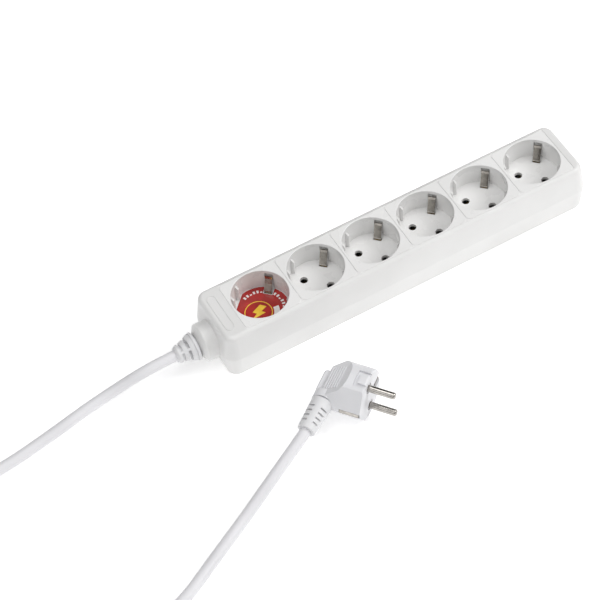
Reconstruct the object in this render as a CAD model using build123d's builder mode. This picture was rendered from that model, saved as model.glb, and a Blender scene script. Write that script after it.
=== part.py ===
"""Six-way earthed power strip with its cord and angled plug, in millimetres.

The strip stands on z = 0 with its length along X, the cord leaving at -X, and the socket faces up.
"""

from build123d import *
import os
from math import cos, radians, sin, tan

os.makedirs("parts", exist_ok=True)

# ---- driving dimensions -------------------------------------------------------------------------

socket_count = 6
socket_pitch = 42.8
overall_length = 310.5  # cord sleeve included
housing_length = 284.0  # at the parting line, its widest level
housing_width = 52.6
housing_height = 40.0
parting_height = 19.0
corner_radius = 9.5
upper_draft = 7.2  # degrees
lower_draft = 6.5
wall = 2.0
top_thickness = 2.4
floor_thickness = 2.4
top_fillet = 3.4

housing_x = (overall_length - housing_length) / 2
row_x = 18.25  # middle of the row of sockets

# sockets, CEE 7/3
recess_radius = 19.7
recess_depth = 17.5
recess_wall = 1.2
recess_floor = 2.5
pin_circle = 19.0
pin_hole_radius = 2.75
plate_length = socket_pitch - 0.05
plate_width = 42.1
face_length = 42.2  # the raised face of each panel
face_width = 41.6
face_radius = 3.5
face_step = 0.35
panel_thickness = 2.4
opening_width = 42.16

recess_bottom = housing_height - recess_depth
cup_bottom = recess_bottom - recess_floor
cup_radius = recess_radius + recess_wall

# earth clips, one each side of the recess, on the line square to the pins
clip_width = 5.2
clip_sheet = 0.8
clip_root_radius = 15.2
clip_root_height = 19.2
channel_width = 6.2
channel_radius = 21.8

# contact bars
bar_sheet = 0.8
bar_bottom = 8.0
bar_top = 16.4
fork_half_gap = 2.45
earth_bar_bottom = 18.2
earth_bar_width = 4.0

# screws
screw_radius = 1.4
screw_hole_radius = 1.45
screw_head_radius = 2.8
screw_head_height = 2.0
boss_y = 18.5
boss_x = [row_x + i * 2 * socket_pitch for i in (-1, 0, 1)]

# cord and its way in
cord_radius = 4.0
cord_height = 19.0
gland_radius = 13.6
sleeve_end = -overall_length / 2
sleeve_root = -142.9
collar_radius = 10.3

# plug, CEE 7/7, lying on its side with the pins level
plug_radius = 18.5
plug_x = -61.9
plug_y = -97.4
plug_turn = -52.5  # degrees from +X to the way the pins point
plug_pin_radius = 2.4
plug_pin_root_radius = 1.9  # the part moulded into the plug
plug_pin_length = 19.0
plug_front = 13.0

socket_x = [row_x + (i - (socket_count - 1) / 2) * socket_pitch for i in range(socket_count)]


def save(part, name):
    part.label = name
    export_step(part, f"parts/{name}.step")


def turned(x, height):
    """The socket's own plane: local X is along its two pins and local Y towards an earth clip."""
    return Plane(origin=(x, 0, height), x_dir=(1, -1, 0), z_dir=(0, 0, 1))


def radial(x, side):
    """A standing plane through a clip: local X runs outwards from the socket's middle, local Y up."""
    return Plane(origin=(x, 0, 0), x_dir=(side, side, 0), z_dir=(side, -side, 0))


# ---- housing ------------------------------------------------------------------------------------

inner_length = housing_length - 2 * wall
inner_width = housing_width - 2 * wall
inner_radius = corner_radius - wall
row_length = socket_count * socket_pitch
along_x = Plane(origin=(0, 0, cord_height), x_dir=(0, 1, 0), z_dir=(1, 0, 0))


cord_axis = Axis((0, 0, cord_height), (1, 0, 0))

# gland on the end wall, turned about the cord's axis; each cover keeps its own half
with BuildPart() as gland:
    with BuildSketch(Plane.XZ) as half:
        with BuildLine():
            Polyline(
                (-126.9, cord_height),
                (-126.9, cord_height + gland_radius),
                (-135.75, cord_height + gland_radius),
                (-139.0, cord_height + 8.4),
                (-139.0, cord_height),
                close=True,
            )
        make_face()
        fillet(half.vertices().sort_by_distance((-135.75, cord_height + gland_radius, 0))[0], 1.0)
    revolve(axis=cord_axis)

with BuildPart() as top_cover:
    with BuildSketch(Plane.XY.offset(parting_height)):
        with Locations((housing_x, 0)):
            RectangleRounded(housing_length, housing_width, corner_radius)
    extrude(amount=housing_height - parting_height, taper=upper_draft)
    fillet(top_cover.faces().sort_by(Axis.Z)[-1].edges(), top_fillet)
    add(gland.part)
    # hollow inside
    with BuildSketch(Plane.XY.offset(parting_height)):
        with Locations((housing_x, 0)):
            RectangleRounded(inner_length, inner_width, inner_radius)
    extrude(
        amount=housing_height - parting_height - top_thickness,
        taper=upper_draft,
        mode=Mode.SUBTRACT,
    )
    # one opening for the row of socket panels
    with BuildSketch(Plane.XY.offset(housing_height - 5)):
        with Locations((row_x, 0)):
            RectangleRounded(row_length, opening_width, 0.45)
    extrude(amount=6, mode=Mode.SUBTRACT)
    # posts that the screws bite into, tied to the side walls
    with BuildSketch(Plane.XY.offset(parting_height + 0.3)):
        for x in boss_x:
            for side in (-1, 1):
                with Locations((x, side * boss_y)):
                    Circle(3.2)
                with Locations((x, side * (boss_y + 2.9))):
                    Rectangle(2.4, 5.0)
    extrude(amount=15.0)
    # plain raised plate beside the cord
    with BuildSketch(Plane.XY.offset(housing_height)):
        with Locations((-118.4, 0)):
            SlotOverall(33.0, 6.8, rotation=90)
    extrude(amount=0.3)
    with BuildSketch(Plane.XY.offset(housing_height)):
        with Locations((-118.4, 0)):
            SlotOverall(31.6, 5.4, rotation=90)
    extrude(amount=0.3, mode=Mode.SUBTRACT)
    with BuildSketch(Plane.XY.offset(parting_height)):
        for x in boss_x:
            with Locations((x, boss_y), (x, -boss_y)):
                Circle(screw_hole_radius)
    extrude(amount=11.5, mode=Mode.SUBTRACT)
    # way in for the cord sleeve
    with BuildSketch(along_x.offset(-140)):
        Circle(7.0)
    extrude(amount=14.0, mode=Mode.SUBTRACT)
    with BuildSketch(along_x.offset(-134)):
        Circle(10.0)
    extrude(amount=8.0, mode=Mode.SUBTRACT)
    # nothing below the parting line
    with BuildSketch(Plane.XY.offset(parting_height)):
        Rectangle(400, 120)
    extrude(amount=-30, mode=Mode.SUBTRACT)
save(top_cover.part, "top_cover")

with BuildPart() as base_cover:
    with BuildSketch(Plane.XY.offset(parting_height)):
        with Locations((housing_x, 0)):
            RectangleRounded(housing_length, housing_width, corner_radius)
    extrude(amount=-parting_height, taper=lower_draft)
    fillet(base_cover.faces().sort_by(Axis.Z)[0].edges(), 1.6)
    add(gland.part)
    with BuildSketch(Plane.XY.offset(parting_height)):
        with Locations((housing_x, 0)):
            RectangleRounded(inner_length, inner_width, inner_radius)
    extrude(amount=-(parting_height - floor_thickness), taper=lower_draft, mode=Mode.SUBTRACT)
    # cross ribs that carry the sockets, one under each
    with BuildSketch(Plane.XY.offset(1.0)):
        for x in socket_x:
            with Locations((x, 0)):
                Rectangle(1.6, 47.4)
    extrude(amount=cup_bottom - 0.05 - 1.0)
    # screw posts
    with BuildSketch(Plane.XY.offset(0.5)):
        for x in boss_x:
            with Locations((x, boss_y), (x, -boss_y)):
                Circle(4.0)
    extrude(amount=parting_height - 0.5)
    # seat and posts of the cord clamp
    with BuildSketch(Plane.XY.offset(1.0)):
        with Locations((-121, 0)):
            Rectangle(6.0, 11.0)
    extrude(amount=16.0)
    with BuildSketch(Plane.XY.offset(1.0)):
        with Locations((-121, 9.5), (-121, -9.5)):
            Circle(3.2)
    extrude(amount=19.8)
    with BuildSketch(Plane.XY.offset(8.0)):
        with Locations((-121, 9.5), (-121, -9.5)):
            Circle(screw_hole_radius)
    extrude(amount=14.0, mode=Mode.SUBTRACT)
    with BuildSketch(along_x.offset(-126)):
        Circle(cord_radius + 0.02)
    extrude(amount=10.0, mode=Mode.SUBTRACT)
    # notches for the bars
    with BuildSketch(Plane.XY.offset(bar_bottom)):
        with Locations((row_x, 9.57), (row_x, -9.57)):
            Rectangle(row_length, 1.2)
    extrude(amount=14.0, mode=Mode.SUBTRACT)
    with BuildSketch(Plane.XY.offset(earth_bar_bottom)):
        with Locations((row_x, 0)):
            Rectangle(row_length, earth_bar_width + 0.4)
    extrude(amount=4.0, mode=Mode.SUBTRACT)
    # screw holes with deep recesses for the heads
    with BuildSketch(Plane.XY):
        for x in boss_x:
            with Locations((x, boss_y), (x, -boss_y)):
                Circle(3.2)
    extrude(amount=9.0, mode=Mode.SUBTRACT)
    with BuildSketch(Plane.XY.offset(8.9)):
        for x in boss_x:
            with Locations((x, boss_y), (x, -boss_y)):
                Circle(1.7)
    extrude(amount=12.0, mode=Mode.SUBTRACT)
    with BuildSketch(along_x.offset(-140)):
        Circle(7.0)
    extrude(amount=14.0, mode=Mode.SUBTRACT)
    with BuildSketch(along_x.offset(-134)):
        Circle(10.0)
    extrude(amount=8.0, mode=Mode.SUBTRACT)
    # the gland's upper half belongs to the cover
    with BuildSketch(Plane.XY.offset(parting_height)):
        with Locations((-140, 0)):
            Rectangle(32, 60)
    extrude(amount=30, mode=Mode.SUBTRACT)
save(base_cover.part, "base_cover")

with BuildPart() as housing_screws:
    for x in boss_x:
        for side in (-1, 1):
            with BuildSketch(Plane.XY.offset(9.0 - screw_head_height)):
                with Locations((x, side * boss_y)):
                    Circle(screw_head_radius)
            extrude(amount=screw_head_height)
            with BuildSketch(Plane.XY.offset(8.9)):
                with Locations((x, side * boss_y)):
                    Circle(screw_radius)
            extrude(amount=18.0)
            with BuildSketch(Plane.XY.offset(9.0 - screw_head_height)):
                with Locations((x, side * boss_y)):
                    Rectangle(3.6, 0.7)
                    Rectangle(0.7, 3.6)
            extrude(amount=1.0, mode=Mode.SUBTRACT)
save(housing_screws.part, "housing_screws")

# ---- sockets ------------------------------------------------------------------------------------

rib_profile = [(17.0, recess_bottom - 0.5), (20.2, recess_bottom - 0.5), (20.2, 38.5), (17.0, 34.0)]


def socket_insert(x):
    with BuildPart() as insert:
        with BuildSketch(Plane.XY.offset(housing_height - panel_thickness - 0.1)):
            with Locations((x, 0)):
                RectangleRounded(plate_length, plate_width, 0.4)
        extrude(amount=panel_thickness + 0.1 - face_step)
        with BuildSketch(Plane.XY.offset(housing_height - 1.0)):
            with Locations((x, 0)):
                RectangleRounded(face_length, face_width, face_radius)
        extrude(amount=1.0)
        fillet(insert.faces().sort_by(Axis.Z)[-1].edges(), 0.2)
        # flange under the cover's edge
        with BuildSketch(Plane.XY.offset(housing_height - 4.4)):
            with Locations((x, 0)):
                RectangleRounded(plate_length, plate_width + 1.2, 0.5)
        extrude(amount=1.85)
        with BuildSketch(turned(x, cup_bottom)):
            Circle(cup_radius)
            Rectangle(8.6, 2 * (channel_radius + 1.2))
        extrude(amount=housing_height - 4.0 - cup_bottom)
        # recess, with a channel behind each earth clip
        with BuildSketch(turned(x, recess_bottom)):
            Circle(recess_radius)
        extrude(amount=recess_depth + 1, mode=Mode.SUBTRACT)
        with BuildSketch(turned(x, recess_bottom)):
            Rectangle(channel_width, 2 * channel_radius)
        extrude(amount=14.7, mode=Mode.SUBTRACT)
        fillet(
            insert.edges().filter_by(GeomType.CIRCLE).group_by(Axis.Z)[-1].sort_by(SortBy.RADIUS)[-1],
            0.45,
        )
        # guide ribs in pairs at both ends of the line of the pins
        for side in (-1, 1):
            for offset in (-4.9, 4.9):
                standing = Plane(origin=(x, 0, 0), x_dir=(side, -side, 0), z_dir=(-side, -side, 0))
                with BuildSketch(standing.offset(offset - 0.8)):
                    with BuildLine():
                        Polyline(*rib_profile, close=True)
                    make_face()
                extrude(amount=1.6)
        with BuildSketch(turned(x, cup_bottom - 1)):
            with Locations((pin_circle / 2, 0), (-pin_circle / 2, 0)):
                Circle(pin_hole_radius)
            with Locations((0, clip_root_radius), (0, -clip_root_radius)):
                Rectangle(5.8, 2.6)
        extrude(amount=recess_floor + 2, mode=Mode.SUBTRACT)
    return insert.part


for number, x in enumerate(socket_x, start=1):
    save(socket_insert(x), f"socket_insert_{number}")


def earth_arm(x, side):
    """A bent strip of spring steel that stands up through the socket's floor."""
    with BuildPart() as arm:
        with BuildSketch(radial(x, side).offset(-clip_width / 2)):
            with BuildLine():
                FilletPolyline(
                    (clip_root_radius, clip_root_height),
                    (clip_root_radius - 0.2, 22.0),
                    (14.4, 24.2),
                    (17.2, 29.6),
                    (18.6, 33.2),
                    (18.9, 35.2),
                    radius=1.2,
                )
            trace(line_width=clip_sheet)
        extrude(amount=clip_width)
    return arm.part


for number, x in enumerate(socket_x, start=1):
    for letter, side in (("a", 1), ("b", -1)):
        save(earth_arm(x, side), f"earth_arm_{number}{letter}")

# red transport label on the floor of the socket next to the cord
with BuildPart() as socket_label:
    with BuildSketch(turned(socket_x[0], recess_bottom + 0.05)) as disc:
        Circle(19.2)
        Rectangle(33.6, 60, mode=Mode.INTERSECT)
        with Locations((0, 16.8), (0, -16.8)):
            Rectangle(7.0, 7.0, mode=Mode.SUBTRACT)
    extrude(amount=0.25)
save(socket_label.part, "socket_label")

# ---- contact bars -------------------------------------------------------------------------------

hole = pin_circle / 2 * cos(radians(45))  # the pin holes' offset along X and along Y
bar_end = socket_x[0] - 14.7


def contact_bar(side):
    """Side +1 feeds the holes at -X +Y of each socket, and side -1 those at +X -Y."""
    bar_y = side * (hole + fork_half_gap + bar_sheet / 2)
    last = socket_x[-1] - side * hole + 4.0
    with BuildPart() as bar:
        with BuildSketch(Plane.XY.offset(bar_bottom)):
            with Locations(((bar_end + last) / 2, bar_y)):
                Rectangle(last - bar_end, bar_sheet)
            for x in socket_x:
                fork_x = x - side * hole
                with Locations((fork_x + 0.2, side * (hole - fork_half_gap - bar_sheet / 2))):
                    Rectangle(7.6, bar_sheet)
                with Locations((fork_x - 3.2, side * hole)):
                    Rectangle(bar_sheet, 2 * fork_half_gap + 2 * bar_sheet)
        extrude(amount=bar_top - bar_bottom)
    return bar.part


save(contact_bar(1), "live_busbar")
save(contact_bar(-1), "neutral_busbar")

clip_offset = clip_root_radius * cos(radians(45))
with BuildPart() as earth_busbar:
    with BuildSketch(Plane.XY.offset(earth_bar_bottom)):
        first = socket_x[0] - 18.5
        last = socket_x[-1] + clip_offset + 3
        with Locations(((first + last) / 2, 0)):
            Rectangle(last - first, earth_bar_width)
        for x in socket_x:
            for side in (-1, 1):
                with Locations((x + side * clip_offset, side * (clip_offset + 2.0) / 2)):
                    Rectangle(5.6, clip_offset + 2.0)
    extrude(amount=bar_sheet)
save(earth_busbar.part, "earth_busbar")

# ---- cord entry ---------------------------------------------------------------------------------

with BuildPart() as cord_sleeve:
    with BuildSketch(Plane.XZ):
        with BuildLine():
            Polyline(
                (-126.0, cord_height + cord_radius + 0.02),
                (-126.0, cord_height + 6.4),
                (-131.2, cord_height + 6.6),
                (-131.2, cord_height + 9.6),
                (-133.8, cord_height + 9.6),
                (-133.8, cord_height + 6.9),
                (-140.4, cord_height + 6.9),
                (-140.4, cord_height + collar_radius),
                (-142.2, cord_height + 9.9),
                (-142.2, cord_height + 9.2),
                (-142.6, cord_height + 9.2),
                (-142.6, cord_height + 9.75),
                (sleeve_root - 1.2, cord_height + 9.2),
                (-147.0, cord_height + 7.8),
                (-150.6, cord_height + 6.7),
                (-153.8, cord_height + 6.2),
                (sleeve_end, cord_height + 5.0),
                (sleeve_end, cord_height + cord_radius + 0.02),
                close=True,
            )
        make_face()
    revolve(axis=cord_axis)
    # flexing slots, two rows, with a bridge towards the top and one below
    for start, thickness in ((-147.4, 1.9), (-151.9, 1.7)):
        with BuildSketch(along_x.offset(start)):
            Circle(12.0)
            Circle(5.3, mode=Mode.SUBTRACT)
            Rectangle(1.8, 30, rotation=38, mode=Mode.SUBTRACT)
        extrude(amount=thickness, mode=Mode.SUBTRACT)
save(cord_sleeve.part, "cord_sleeve")

jacket_end = -116.0
with BuildPart() as cord_inner:
    with BuildSketch(along_x.offset(sleeve_end)):
        Circle(cord_radius)
    extrude(amount=jacket_end - sleeve_end)
save(cord_inner.part, "cord_inner")

with BuildPart() as cord_clamp:
    with BuildSketch(Plane.XY.offset(20.85)):
        with Locations((-121, 0)):
            SlotOverall(26, 6.4, rotation=90)
    extrude(amount=4.6)
    with BuildSketch(along_x.offset(-126)):
        Circle(cord_radius + 0.02)
    extrude(amount=10, mode=Mode.SUBTRACT)
    with BuildSketch(Plane.XY.offset(20)):
        with Locations((-121, 9.5), (-121, -9.5)):
            Circle(1.6)
    extrude(amount=6, mode=Mode.SUBTRACT)
save(cord_clamp.part, "cord_clamp")

with BuildPart() as clamp_screws:
    for y in (-9.5, 9.5):
        with BuildSketch(Plane.XY.offset(25.5)):
            with Locations((-121, y)):
                Circle(screw_head_radius)
        extrude(amount=screw_head_height)
        with BuildSketch(Plane.XY.offset(12.0)):
            with Locations((-121, y)):
                Circle(screw_radius)
        extrude(amount=13.6)
save(clamp_screws.part, "clamp_screws")


def tube(points, tube_radius, share=0.45):
    """A round tube along straight runs joined by tangent arcs. Returns the solid, the radii and the length."""
    route = [Vector(*p) for p in points]
    radii = []
    for before, here, after in zip(route, route[1:], route[2:]):
        turn = (here - before).get_angle(after - here)
        shorter = min((here - before).length, (after - here).length)
        radii.append(share * shorter / tan(radians(turn / 2)))
    with BuildPart() as sweep_part:
        with BuildLine():
            path = FilletPolyline(*route, radius=radii)
        with BuildSketch(path ^ 0):
            Circle(tube_radius)
        sweep()
    return sweep_part.part, radii, path.length


core = 1.2
bar_side = hole + fork_half_gap + bar_sheet + core + 0.03
core_routes = {
    "live_wire": [
        (jacket_end, 2.0, 17.8),
        (-113.2, 2.0, 17.8),
        (-110.4, 6.4, 13.8),
        (-107.4, bar_side, 12.2),
        (-98.0, bar_side + 0.01, 12.1),
    ],
    "neutral_wire": [
        (jacket_end, -2.0, 17.8),
        (-113.2, -2.0, 17.8),
        (-110.4, -6.4, 13.8),
        (-107.4, -bar_side, 12.2),
        (-98.0, -bar_side - 0.01, 12.1),
    ],
    "earth_wire": [
        (jacket_end, 0, 21.2),
        (-113.2, 0, 21.2),
        (-110.6, 0, 16.85),
        (-101.0, 0, earth_bar_bottom - core - 0.04),
    ],
}
for name, points in core_routes.items():
    wire, _, _ = tube(points, core)
    save(wire, name)

# ---- plug ---------------------------------------------------------------------------------------

pins_way = (cos(radians(plug_turn)), sin(radians(plug_turn)), 0)
cord_way = (sin(radians(plug_turn)), -cos(radians(plug_turn)), 0)
# local X is up, local Y the way the cord leaves and local Z the way the pins point
plug_face = Plane(origin=(plug_x, plug_y, plug_radius), x_dir=(0, 0, 1), z_dir=pins_way)


def plug_point(up, cordward, pinward):
    return plug_face.from_local_coords(Vector(up, cordward, pinward))


side_view = Plane(origin=plug_point(0, 0, 0), x_dir=pins_way, z_dir=(-cord_way[0], -cord_way[1], 0))
plan_view = Plane(origin=plug_point(0, 0, 0), x_dir=pins_way, z_dir=(0, 0, 1))
grip_start = (-17.5, 13.0)
grip_end = (-30.2, 5.0)
relief_lean = 5.3  # degrees that the sleeve leans back from the plug's face
relief_drop = 4.0  # degrees that it points down
relief_start = plug_point(0, 15.2, -26.9)
level_way = Vector(*cord_way) * cos(radians(relief_lean)) - Vector(*pins_way) * sin(radians(relief_lean))
relief_way = level_way * cos(radians(relief_drop)) - Vector(0, 0, sin(radians(relief_drop)))
relief_plane = Plane(origin=relief_start, x_dir=(0, 0, 1), z_dir=relief_way)
relief_length = 23.6

# what is cut away beside the keys that pass between a socket's guide ribs
with BuildPart() as key_space:
    with BuildSketch(plug_face.offset(-8.5)):
        Circle(plug_radius + 1)
        Circle(16.8, mode=Mode.SUBTRACT)
    extrude(amount=9.5)
    with BuildSketch(plan_view):
        with Locations((-3.5, 0)):
            Rectangle(10.0, 13.2)
        with Locations((-2.0, 0)):
            Rectangle(8.0, 7.8, mode=Mode.SUBTRACT)
    extrude(amount=25, both=True, mode=Mode.INTERSECT)

with BuildPart() as plug_body:
    with BuildSketch(side_view):
        with BuildLine():
            Polyline(
                (-8.0, 18.4),
                (-12.9, 18.4),
                grip_start,
                grip_end,
                (-31.0, 3.4),
                (-31.0, -3.4),
                (grip_end[0], -grip_end[1]),
                (grip_start[0], -grip_start[1]),
                (-12.9, -18.4),
                (-8.0, -18.4),
                close=True,
            )
        make_face()
    extrude(amount=18.5, both=True)
    with BuildSketch(plan_view):
        with BuildLine():
            Polyline(
                (-8.0, 18.4),
                (-13.0, 18.4),
                (-20.0, 15.6),
                (-31.5, 10.6),
                (-31.5, -12.6),
                (-20.0, -17.2),
                (-13.0, -18.4),
                (-8.0, -18.4),
                close=True,
            )
        make_face()
    extrude(amount=19, both=True, mode=Mode.INTERSECT)
    with BuildSketch(plug_face.offset(-40)):
        Circle(plug_radius)
    extrude(amount=40, mode=Mode.INTERSECT)
    with BuildSketch(plug_face.offset(-plug_front)):
        Circle(plug_radius)
    extrude(amount=plug_front)
    fillet(plug_body.edges().filter_by(GeomType.CIRCLE).sort_by_distance(plug_face.origin)[0], 1.3)
    # flats beside the cord
    for up in (-1, 1):
        flat = Plane(
            origin=plug_face.origin,
            x_dir=pins_way,
            z_dir=Vector(*cord_way) * 0.857 + Vector(0, 0, up * 0.515),
        )
        with BuildSketch(flat.offset(16.0)):
            with Locations((-10, 0)):
                Rectangle(30, 40)
        extrude(amount=6, mode=Mode.SUBTRACT)
    # neck for the sleeve
    with BuildSketch(Plane(origin=plug_point(0, 9, -26.9), x_dir=(0, 0, 1), z_dir=cord_way)):
        Circle(8.0)
    extrude(amount=6.0)
    # finger pad at the back
    with BuildSketch(plug_face.offset(-33.6)):
        SlotOverall(19.4, 6.6, rotation=90)
    extrude(amount=3.8)
    with BuildSketch(plug_face.offset(-33.6)):
        SlotOverall(19.4, 6.6, rotation=90)
    extrude(amount=-1.2, taper=38)
    # grip lines on both slopes
    slope = Vector(grip_end[0] - grip_start[0], grip_end[1] - grip_start[1])
    for up in (-1, 1):
        for i in range(6):
            share = 0.16 + 0.145 * i
            away = grip_start[0] + slope.X * share
            high = up * (grip_start[1] + slope.Y * share)
            with BuildSketch(Plane(origin=plug_point(high, -9.6, away), x_dir=(0, 0, 1), z_dir=cord_way)):
                Circle(0.42)
            extrude(amount=18.0)
    add(key_space.part, mode=Mode.SUBTRACT)
    # seats of the earth contacts, and the hole for an earth pin
    with BuildSketch(plug_face.offset(-14.5)):
        with Locations((0, 18.0), (0, -18.0)):
            Rectangle(4.0, 3.0)
    extrude(amount=16, mode=Mode.SUBTRACT)
    with BuildSketch(plug_face.offset(-2.2)):
        with Locations((0, -13.5)):
            SlotOverall(14.0, 6.4, rotation=90)
    extrude(amount=4, mode=Mode.SUBTRACT)
    with BuildSketch(plug_face.offset(-16)):
        with Locations((0, -10)):
            Circle(2.75)
    extrude(amount=18, mode=Mode.SUBTRACT)
    with BuildSketch(plug_face.offset(-9)):
        with Locations((pin_circle / 2, 0), (-pin_circle / 2, 0)):
            Circle(plug_pin_root_radius + 0.02)
    extrude(amount=10, mode=Mode.SUBTRACT)
    with BuildSketch(plug_face.offset(-0.6)):
        with Locations((pin_circle / 2, 0), (-pin_circle / 2, 0)):
            Circle(plug_pin_radius + 1.4)
    extrude(amount=2, mode=Mode.SUBTRACT)
    # bore that the sleeve and the cord sit in
    with BuildSketch(relief_plane.offset(-6)):
        Circle(6.0)
    extrude(amount=10, mode=Mode.SUBTRACT)
    with BuildSketch(relief_plane.offset(-0.1)):
        Circle(7.72)
    extrude(amount=8, mode=Mode.SUBTRACT)
save(plug_body.part, "plug_body")

for name, up in (("plug_pin_upper", 1), ("plug_pin_lower", -1)):
    with BuildPart() as pin:
        with BuildSketch(plug_face.offset(-9)):
            with Locations((up * pin_circle / 2, 0)):
                Circle(plug_pin_root_radius)
        extrude(amount=9)
        with BuildSketch(plug_face.offset(-0.6)):
            with Locations((up * pin_circle / 2, 0)):
                Circle(plug_pin_radius)
        extrude(amount=0.6 + plug_pin_length)
        fillet(pin.faces().sort_by(Axis(plug_face.origin, pins_way))[-1].edges(), 1.6)
    save(pin.part, name)

with BuildPart() as plug_earth_contacts:
    for side in (-1, 1):
        with BuildSketch(plug_face.offset(-14.4)):
            with Locations((0, side * 17.0)):
                Rectangle(3.4, 0.9)
        extrude(amount=13.6)
    with BuildSketch(plug_face.offset(-2.1)):
        with Locations((0, -12.4)):
            SlotOverall(10.1, 6.0, rotation=90)
        with Locations((0, -10)):
            Circle(2.4, mode=Mode.SUBTRACT)
    extrude(amount=0.9)
save(plug_earth_contacts.part, "plug_earth_contacts")

with BuildPart() as plug_sleeve:
    with BuildSketch(relief_plane):
        Circle(7.7)
    extrude(amount=relief_length, taper=3.6)
    fillet(plug_sleeve.edges().filter_by(GeomType.CIRCLE).sort_by_distance(relief_plane.origin)[-1], 0.7)
    with BuildSketch(relief_plane.offset(-5.8)):
        Circle(5.9)
    extrude(amount=6)
    for i in range(4):
        with BuildSketch(relief_plane.offset(6.6 + i * 3.7)):
            Circle(9.0)
            Circle(5.2, mode=Mode.SUBTRACT)
            Rectangle(20, 4.4, rotation=-8, mode=Mode.SUBTRACT)
            Rectangle(4.4, 20, mode=Mode.SUBTRACT)
        extrude(amount=1.3, mode=Mode.SUBTRACT)
    with BuildSketch(relief_plane.offset(relief_length - 8)):
        Circle(cord_radius + 0.02)
    extrude(amount=10, mode=Mode.SUBTRACT)
save(plug_sleeve.part, "plug_sleeve")

# ---- free cord ----------------------------------------------------------------------------------

coil_x = -383.0
coil_y = -60.0
coil_outer = 51.0
coil_inner = 37.0

near_route = [
    (sleeve_end, 0, cord_height),
    (-175.0, 0, cord_height),
    (-200.0, 4.0, 8.2),
    (-222.0, 3.2, 4.0),
    (-250.0, -2.8, 4.0),
    (-290.0, -10.0, 4.0),
    (-338.0, -11.4, 4.0),
    (coil_x, coil_y + coil_outer, 4.0),
]
cord_start = relief_plane.from_local_coords(Vector(0, 0, relief_length - 7.9))
cord_leave = relief_plane.from_local_coords(Vector(0, 0, relief_length + 6))
far_route = [
    (coil_x, coil_y - coil_outer, 12.0),
    (-358.0, coil_y - coil_outer - 1.2, 8.0),
    (-333.0, -121.5, 4.0),
    (-308.0, -141.5, 4.0),
    (-288.5, -158.3, 4.0),
    (-263.0, -167.0, 4.0),
    (-236.5, -162.6, 4.0),
    (-206.0, -145.5, 4.0),
    (-170.0, -126.2, 4.0),
    (-141.0, -113.0, 11.8),
    tuple(cord_leave),
    tuple(cord_start),
]

for name, route in (("cord_near", near_route), ("cord_far", far_route)):
    solid, radii, length = tube(route, cord_radius)
    section = 3.14159265 * cord_radius**2
    print(name, "radii", [round(r, 1) for r in radii], "length", round(length, 1))
    print(name, "volume over section times length", round(solid.volume / (section * length), 4))
    save(solid, name)

with BuildPart() as cord_coil:
    with BuildSketch(Plane(origin=(coil_x, coil_y, 0), x_dir=(1, 0, 0), z_dir=(0, -1, 0))) as ring:
        with Locations(((coil_outer + coil_inner) / 2, 8.0)):
            RectangleRounded(coil_outer - coil_inner + 2 * cord_radius, 16.0, 3.9)
    revolve(axis=Axis((coil_x, coil_y, 0), (0, 0, 1)))
save(cord_coil.part, "cord_coil")

turns = 3.5
print("coil length", round(turns * 3.14159265 * (coil_outer + coil_inner), 1))
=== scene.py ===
"""Looks for the six-way power strip: camera, cord, label artwork, materials, floor and studio light."""

from math import cos, radians, sin

import bmesh
import bpy
from mathutils import Matrix, Vector


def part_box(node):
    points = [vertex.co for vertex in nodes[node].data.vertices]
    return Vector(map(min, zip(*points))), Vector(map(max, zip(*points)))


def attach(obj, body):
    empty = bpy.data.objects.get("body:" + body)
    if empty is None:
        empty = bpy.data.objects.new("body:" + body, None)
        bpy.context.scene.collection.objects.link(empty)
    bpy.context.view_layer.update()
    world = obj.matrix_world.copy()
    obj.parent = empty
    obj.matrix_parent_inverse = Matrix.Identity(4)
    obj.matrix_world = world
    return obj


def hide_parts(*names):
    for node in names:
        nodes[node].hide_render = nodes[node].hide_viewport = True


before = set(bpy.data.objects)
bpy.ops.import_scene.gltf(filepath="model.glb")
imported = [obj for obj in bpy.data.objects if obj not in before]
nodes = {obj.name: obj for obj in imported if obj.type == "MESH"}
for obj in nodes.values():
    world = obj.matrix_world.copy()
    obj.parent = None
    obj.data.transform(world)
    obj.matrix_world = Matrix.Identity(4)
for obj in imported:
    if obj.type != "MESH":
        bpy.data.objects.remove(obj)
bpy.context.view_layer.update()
scene = bpy.context.scene
MM = 0.001

# ---- camera -------------------------------------------------------------------------------------

CAMERA_AT = Vector((-0.45365, -0.90280, 1.30600))
AZIMUTH = radians(-23.545)
ELEVATION = radians(52.704)
ROLL = radians(-7.026)

back = Vector((sin(AZIMUTH) * cos(ELEVATION), -cos(AZIMUTH) * cos(ELEVATION), sin(ELEVATION)))
right = (-back).cross(Vector((0, 0, 1))).normalized()
up = right.cross(-back)
right_turned = right * cos(ROLL) + up * sin(ROLL)
up_turned = up * cos(ROLL) - right * sin(ROLL)

camera_data = bpy.data.cameras.new("camera")
camera_data.sensor_width = 36
camera_data.lens = 143.65
camera_data.clip_end = 20
camera = bpy.data.objects.new("camera", camera_data)
scene.collection.objects.link(camera)
camera_turn = Matrix((right_turned, up_turned, back)).transposed().to_4x4()
camera.matrix_world = Matrix.Translation(CAMERA_AT) @ camera_turn
scene.camera = camera
scene.view_settings.view_transform = "Standard"

# ---- free cord ----------------------------------------------------------------------------------

CORD_RADIUS = 4.0
COIL_X, COIL_Y = -383.0, -60.0
COIL_OUTER, COIL_INNER = 51.0, 37.0
COIL_STEP = 30  # degrees from one point of the coil to the next
COIL_TURN = 1260  # three and a half turns
LAYER_RISE = 2 * CORD_RADIUS

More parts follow.
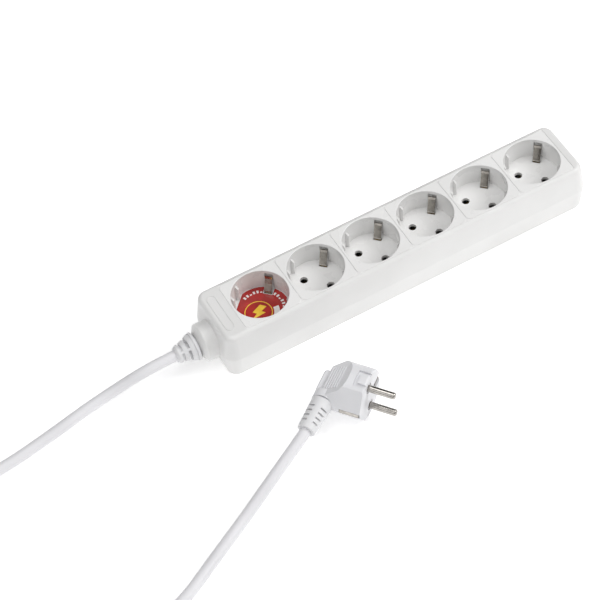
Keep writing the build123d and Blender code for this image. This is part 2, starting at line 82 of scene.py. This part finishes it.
near_route = [
    (-155.25, 0, 19.0),
    (-175.0, 0, 19.0),
    (-200.0, 4.0, 8.2),
    (-222.0, 3.2, 4.0),
    (-250.0, -2.8, 4.0),
    (-290.0, -10.0, 4.0),
    (-338.0, -11.4, 4.0),
    (COIL_X, COIL_Y + COIL_OUTER, 4.0),
]
far_route = [
    (COIL_X, COIL_Y - COIL_OUTER, 12.0),
    (-358.0, -112.2, 8.0),
    (-333.0, -121.5, 4.0),
    (-308.0, -141.5, 4.0),
    (-288.5, -158.3, 4.0),
    (-263.0, -167.0, 4.0),
    (-236.5, -162.6, 4.0),
    (-206.0, -145.5, 4.0),
    (-170.0, -126.2, 4.0),
    (-141.0, -113.0, 11.8),
    (-115.32, -101.05, 16.44),
    (-103.59, -93.66, 17.40),
]


def coil_points():
    """Three and a half turns from +Y round to -Y: in on the floor, up at the inner end, out on top."""
    points = []
    for i in range(COIL_TURN // COIL_STEP):
        turned = COIL_STEP / 2 + COIL_STEP * i
        share = 2 * turned / COIL_TURN
        radius = COIL_OUTER - (COIL_OUTER - COIL_INNER) * min(share, 2 - share)
        climb = min(max((turned - 600) / 60, 0), 1)
        angle = radians(90 + turned)
        reach = radius / cos(radians(COIL_STEP / 2))
        height = CORD_RADIUS + LAYER_RISE * climb
        points.append((COIL_X + reach * cos(angle), COIL_Y + reach * sin(angle), height))
    return points


def curve_piece(name, points, thickness):
    data = bpy.data.curves.new(name, "CURVE")
    data.dimensions = "3D"
    data.bevel_depth = 1
    data.bevel_resolution = 9
    data.resolution_u = 10
    spline = data.splines.new("NURBS")
    spline.points.add(len(points) - 1)
    for point, place in zip(spline.points, points):
        point.co = (place[0] * MM, place[1] * MM, place[2] * MM, 1)
        point.radius = thickness
    spline.order_u = 3
    spline.use_endpoint_u = True
    spline.use_smooth = True
    piece = bpy.data.objects.new(name, data)
    scene.collection.objects.link(piece)
    return piece


free_cord = curve_piece("free_cord", near_route + coil_points() + far_route, CORD_RADIUS * MM)
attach(free_cord, "strip")
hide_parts("cord_near", "cord_coil", "cord_far")

# ---- label artwork ------------------------------------------------------------------------------

label_low, label_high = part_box("socket_label")
LABEL_X = (label_low.x + label_high.x) / 2 / MM
LABEL_TOP = label_high.z / MM
ACROSS = Vector((cos(radians(-45)), sin(radians(-45)), 0))  # along the pins
ALONG = Vector((cos(radians(45)), sin(radians(45)), 0))  # towards an earth clip


def label_point(x, y, lift):
    """A place on the label in mm: x along the pins and y towards the clip at +X +Y."""
    return (Vector((LABEL_X, 0, LABEL_TOP + lift)) + ACROSS * x + ALONG * y) * MM


def inlay(name, outlines, lift, thick=0.03):
    """Flat shapes of printed colour, each a closed outline, a hair thicker than the ink."""
    mesh = bmesh.new()
    for outline in outlines:
        corners = [mesh.verts.new(label_point(x, y, lift)) for x, y in outline]
        face = mesh.faces.new(corners)
        if face.normal.z < 0:
            face.normal_flip()
        top = bmesh.ops.extrude_face_region(mesh, geom=[face])["geom"]
        bmesh.ops.translate(
            mesh,
            vec=(0, 0, thick * MM),
            verts=[v for v in top if isinstance(v, bmesh.types.BMVert)],
        )
    bmesh.ops.recalc_face_normals(mesh, faces=mesh.faces)
    data = bpy.data.meshes.new(name)
    mesh.to_mesh(data)
    mesh.free()
    piece = bpy.data.objects.new(name, data)
    scene.collection.objects.link(piece)
    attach(piece, "strip")
    return piece


def arc(centre, radius, start, stop, steps):
    return [
        (
            centre[0] + radius * cos(radians(start + (stop - start) * i / steps)),
            centre[1] + radius * sin(radians(start + (stop - start) * i / steps)),
        )
        for i in range(steps + 1)
    ]


def band(centre, inner, outer, start, stop, steps):
    return arc(centre, outer, start, stop, steps) + arc(centre, inner, stop, start, steps)


MARK = (-1.5, -3.0)
ring_parts = [band(MARK, 9.0, 9.6, a, a + 44, 10) for a in range(0, 360, 45)]
label_ring = inlay("label_ring", ring_parts, 0.0)
bolt = [(-1.0, 6.6), (3.6, 6.2), (1.6, 1.6), (4.6, 1.2), (-2.8, -7.4), (-0.8, -1.2), (-4.0, -0.8)]
label_bolt = inlay("label_bolt", [[(MARK[0] + x, MARK[1] + y) for x, y in bolt]], 0.0)
ticks = []
for i in range(12):
    mid = 24 + 9.5 * i + (27.5 if i > 5 else 0)
    ticks.append(band((0, 0), 14.2, 16.4 if i % 3 else 15.2, mid - 2.6, mid + 2.6, 3))
ticks.append(band(MARK, 10.6, 14.4, -58, 38, 16))
label_ticks = inlay("label_ticks", ticks, 0.0)

# ---- materials ----------------------------------------------------------------------------------


def shader(name):
    material = bpy.data.materials.new(name)
    material.use_nodes = True
    tree = material.node_tree
    return material, tree, tree.nodes["Principled BSDF"]


def noise(tree, scale, detail=3.0, stretch=None):
    place = tree.nodes.new("ShaderNodeTexCoord")
    texture = tree.nodes.new("ShaderNodeTexNoise")
    texture.inputs["Scale"].default_value = scale
    texture.inputs["Detail"].default_value = detail
    if stretch:
        mapping = tree.nodes.new("ShaderNodeMapping")
        mapping.inputs["Scale"].default_value = stretch
        tree.links.new(place.outputs["Object"], mapping.inputs["Vector"])
        tree.links.new(mapping.outputs["Vector"], texture.inputs["Vector"])
    else:
        tree.links.new(place.outputs["Object"], texture.inputs["Vector"])
    return texture.outputs["Fac"]


def blend_colours(tree, factor, low, high, start=0.35, stop=0.65):
    ramp = tree.nodes.new("ShaderNodeValToRGB")
    ramp.color_ramp.elements[0].position = start
    ramp.color_ramp.elements[0].color = (*low, 1)
    ramp.color_ramp.elements[1].position = stop
    ramp.color_ramp.elements[1].color = (*high, 1)
    tree.links.new(factor, ramp.inputs["Fac"])
    return ramp.outputs["Color"]


def remap(tree, factor, low, high):
    node = tree.nodes.new("ShaderNodeMapRange")
    node.inputs["From Min"].default_value = 0.3
    node.inputs["From Max"].default_value = 0.7
    node.inputs["To Min"].default_value = low
    node.inputs["To Max"].default_value = high
    tree.links.new(factor, node.inputs["Value"])
    return node.outputs["Result"]


def bump(tree, bsdf, heights):
    """Adds up bumps, each (height socket, strength, distance in metres)."""
    last = None
    for height, strength, distance in heights:
        node = tree.nodes.new("ShaderNodeBump")
        node.inputs["Strength"].default_value = strength
        node.inputs["Distance"].default_value = distance
        tree.links.new(height, node.inputs["Height"])
        if last:
            tree.links.new(last, node.inputs["Normal"])
        last = node.outputs["Normal"]
    tree.links.new(last, bsdf.inputs["Normal"])


def moulded(name, low, high, rough, grain=2600, depth=0.00002, flow=None, specular=0.5, soft=0.0):
    """Moulded plastic: slightly uneven colour, fine spark-eroded grain and faint flow waves."""
    material, tree, bsdf = shader(name)
    tree.links.new(blend_colours(tree, noise(tree, 22, 4), low, high), bsdf.inputs["Base Color"])
    tree.links.new(remap(tree, noise(tree, 60, 5), rough[0], rough[1]), bsdf.inputs["Roughness"])
    bsdf.inputs["Specular IOR Level"].default_value = specular
    if soft:
        bsdf.inputs["Subsurface Weight"].default_value = soft
        bsdf.inputs["Subsurface Radius"].default_value = (0.004, 0.0036, 0.0032)
        bsdf.inputs["Subsurface Scale"].default_value = 0.6
    heights = [(noise(tree, grain, 2), 0.35, depth)]
    heights.append((noise(tree, 45, 2, flow), 0.2, 0.0002))
    bump(tree, bsdf, heights)
    return material


def metal(name, low, high, rough, stretch, scale=900, depth=0.00001):
    material, tree, bsdf = shader(name)
    tree.links.new(blend_colours(tree, noise(tree, 260, 5), low, high), bsdf.inputs["Base Color"])
    tree.links.new(remap(tree, noise(tree, 420, 6, stretch), rough[0], rough[1]), bsdf.inputs["Roughness"])
    bsdf.inputs["Metallic"].default_value = 1.0
    bump(tree, bsdf, [(noise(tree, scale, 3, stretch), 0.3, depth)])
    return material


def ink(name, low, high, rough):
    """Printed film under a clear gloss."""
    material, tree, bsdf = shader(name)
    tree.links.new(blend_colours(tree, noise(tree, 130, 4), low, high), bsdf.inputs["Base Color"])
    tree.links.new(remap(tree, noise(tree, 300, 4), rough[0], rough[1]), bsdf.inputs["Roughness"])
    bsdf.inputs["Coat Weight"].default_value = 0.6
    bsdf.inputs["Coat Roughness"].default_value = 0.12
    bump(tree, bsdf, [(noise(tree, 70, 2), 0.3, 0.00025)])
    return material


def paint(material, *names):
    for name in names:
        piece = nodes.get(name) or bpy.data.objects[name]
        if piece.data.materials:
            for i in range(len(piece.data.materials)):
                piece.data.materials[i] = material
        else:
            piece.data.materials.append(material)


numbers = range(1, 7)
paint(
    moulded("housing_plastic", (0.70, 0.696, 0.688), (0.74, 0.737, 0.73), (0.30, 0.40)),
    "top_cover",
    "base_cover",
)
paint(
    moulded("panel_plastic", (0.775, 0.771, 0.763), (0.81, 0.807, 0.80), (0.24, 0.34), grain=3200),
    *[f"socket_insert_{i}" for i in numbers],
)
paint(
    moulded(
        "plug_pvc", (0.70, 0.70, 0.72), (0.75, 0.75, 0.77), (0.38, 0.50),
        grain=1900, depth=0.00003, soft=0.06,
    ),
    "plug_body",
)
paint(
    moulded(
        "sleeve_pvc", (0.69, 0.69, 0.70), (0.73, 0.73, 0.74), (0.40, 0.52),
        grain=1900, depth=0.00003, soft=0.06,
    ),
    "plug_sleeve",
    "cord_sleeve",
)
paint(
    moulded("cord_sheath", (0.70, 0.695, 0.715), (0.75, 0.745, 0.765), (0.36, 0.48), grain=1500, soft=0.05),
    "free_cord",
    "cord_inner",
)
paint(moulded("clamp_plastic", (0.62, 0.61, 0.58), (0.70, 0.69, 0.66), (0.45, 0.6)), "cord_clamp")
nickel = metal("nickel_plate", (0.36, 0.34, 0.31), (0.52, 0.49, 0.45), (0.08, 0.18), (1, 1, 0.15))
paint(nickel, *[f"earth_arm_{i}{side}" for i in numbers for side in "ab"], "plug_earth_contacts")
paint(
    metal("pin_nickel", (0.36, 0.34, 0.32), (0.48, 0.46, 0.43), (0.07, 0.15), (0.3, 0.3, 2.0)),
    "plug_pin_upper",
    "plug_pin_lower",
)
paint(
    metal("brass_strip", (0.52, 0.36, 0.16), (0.70, 0.52, 0.24), (0.22, 0.38), (0.2, 1, 1)),
    "live_busbar",
    "neutral_busbar",
    "earth_busbar",
)
paint(
    metal("zinc_steel", (0.42, 0.42, 0.42), (0.58, 0.58, 0.57), (0.25, 0.42), (1, 1, 1)),
    "housing_screws",
    "clamp_screws",
)
paint(ink("label_ink_red", (0.30, 0.008, 0.006), (0.44, 0.014, 0.010), (0.30, 0.42)), "socket_label")
paint(
    ink("label_ink_yellow", (0.80, 0.50, 0.03), (0.90, 0.62, 0.06), (0.32, 0.42)),
    "label_ring",
    "label_bolt",
)
paint(ink("label_ink_white", (0.78, 0.76, 0.74), (0.86, 0.85, 0.83), (0.32, 0.42)), "label_ticks")
paint(moulded("wire_brown", (0.12, 0.05, 0.025), (0.16, 0.07, 0.035), (0.35, 0.45)), "live_wire")
paint(moulded("wire_blue", (0.03, 0.12, 0.45), (0.04, 0.16, 0.52), (0.35, 0.45)), "neutral_wire")


def earth_sheath():
    """Green and yellow stripes along the wire."""
    material, tree, bsdf = shader("wire_green_yellow")
    place = tree.nodes.new("ShaderNodeTexCoord")
    wave = tree.nodes.new("ShaderNodeTexWave")
    wave.bands_direction = "Y"
    wave.inputs["Scale"].default_value = 130
    tree.links.new(place.outputs["Object"], wave.inputs["Vector"])
    colour = blend_colours(tree, wave.outputs["Fac"], (0.04, 0.28, 0.05), (0.75, 0.62, 0.03), 0.48, 0.52)
    tree.links.new(colour, bsdf.inputs["Base Color"])
    tree.links.new(remap(tree, noise(tree, 300), 0.35, 0.5), bsdf.inputs["Roughness"])
    return material


paint(earth_sheath(), "earth_wire")

# ---- floor and light ----------------------------------------------------------------------------

floor_mesh = bpy.data.meshes.new("floor")
floor_mesh.from_pydata([(-6, -6, 0), (6, -6, 0), (6, 6, 0), (-6, 6, 0)], [], [(0, 1, 2, 3)])
floor = bpy.data.objects.new("floor", floor_mesh)
floor.location.z = -0.0003
scene.collection.objects.link(floor)
floor_paint, floor_tree, floor_shader = shader("floor_paint")
floor_shader.inputs["Base Color"].default_value = (0.93, 0.93, 0.93, 1)
floor_shader.inputs["Roughness"].default_value = 0.9
floor_shader.inputs["Specular IOR Level"].default_value = 0.1
floor_shader.inputs["Emission Color"].default_value = (1, 1, 1, 1)
floor_shader.inputs["Emission Strength"].default_value = 0.34
floor_mesh.materials.append(floor_paint)

world = bpy.data.worlds.new("studio")
scene.world = world
world.use_nodes = True
# a tent that is dim near the floor and bright overhead
sky = world.node_tree
sky_place = sky.nodes.new("ShaderNodeTexCoord")
sky_split = sky.nodes.new("ShaderNodeSeparateXYZ")
sky.links.new(sky_place.outputs["Generated"], sky_split.inputs["Vector"])
sky_shade = blend_colours(sky, sky_split.outputs["Z"], (0.24, 0.24, 0.24), (1.0, 1.0, 1.0), 0.10, 0.66)
# and a dark flag behind the object for the metal to reflect
sky_flag = blend_colours(sky, sky_split.outputs["Y"], (1.0, 1.0, 1.0), (0.12, 0.12, 0.12), 0.30, 0.50)
sky_product = sky.nodes.new("ShaderNodeVectorMath")
sky_product.operation = "MULTIPLY"
sky.links.new(sky_shade, sky_product.inputs[0])
sky.links.new(sky_flag, sky_product.inputs[1])
sky.links.new(sky_product.outputs["Vector"], sky.nodes["Background"].inputs["Color"])
sky.nodes["Background"].inputs["Strength"].default_value = 0.84


def softbox(name, place, aim, width, height, power):
    data = bpy.data.lights.new(name, "AREA")
    data.shape = "RECTANGLE"
    data.size = width
    data.size_y = height
    data.energy = power
    lamp = bpy.data.objects.new(name, data)
    lamp.location = place
    lamp.rotation_euler = (Vector(aim) - Vector(place)).to_track_quat("-Z", "Y").to_euler()
    scene.collection.objects.link(lamp)


softbox("key", (1.6, -0.7, 1.5), (-0.05, 0, 0), 1.0, 1.0, 21)
softbox("top", (-0.2, 0.1, 2.2), (-0.05, 0, 0), 1.6, 0.8, 9)
softbox("fill", (-1.6, -0.7, 0.9), (-0.1, 0, 0), 0.9, 0.9, 2)

# ---- finish -------------------------------------------------------------------------------------

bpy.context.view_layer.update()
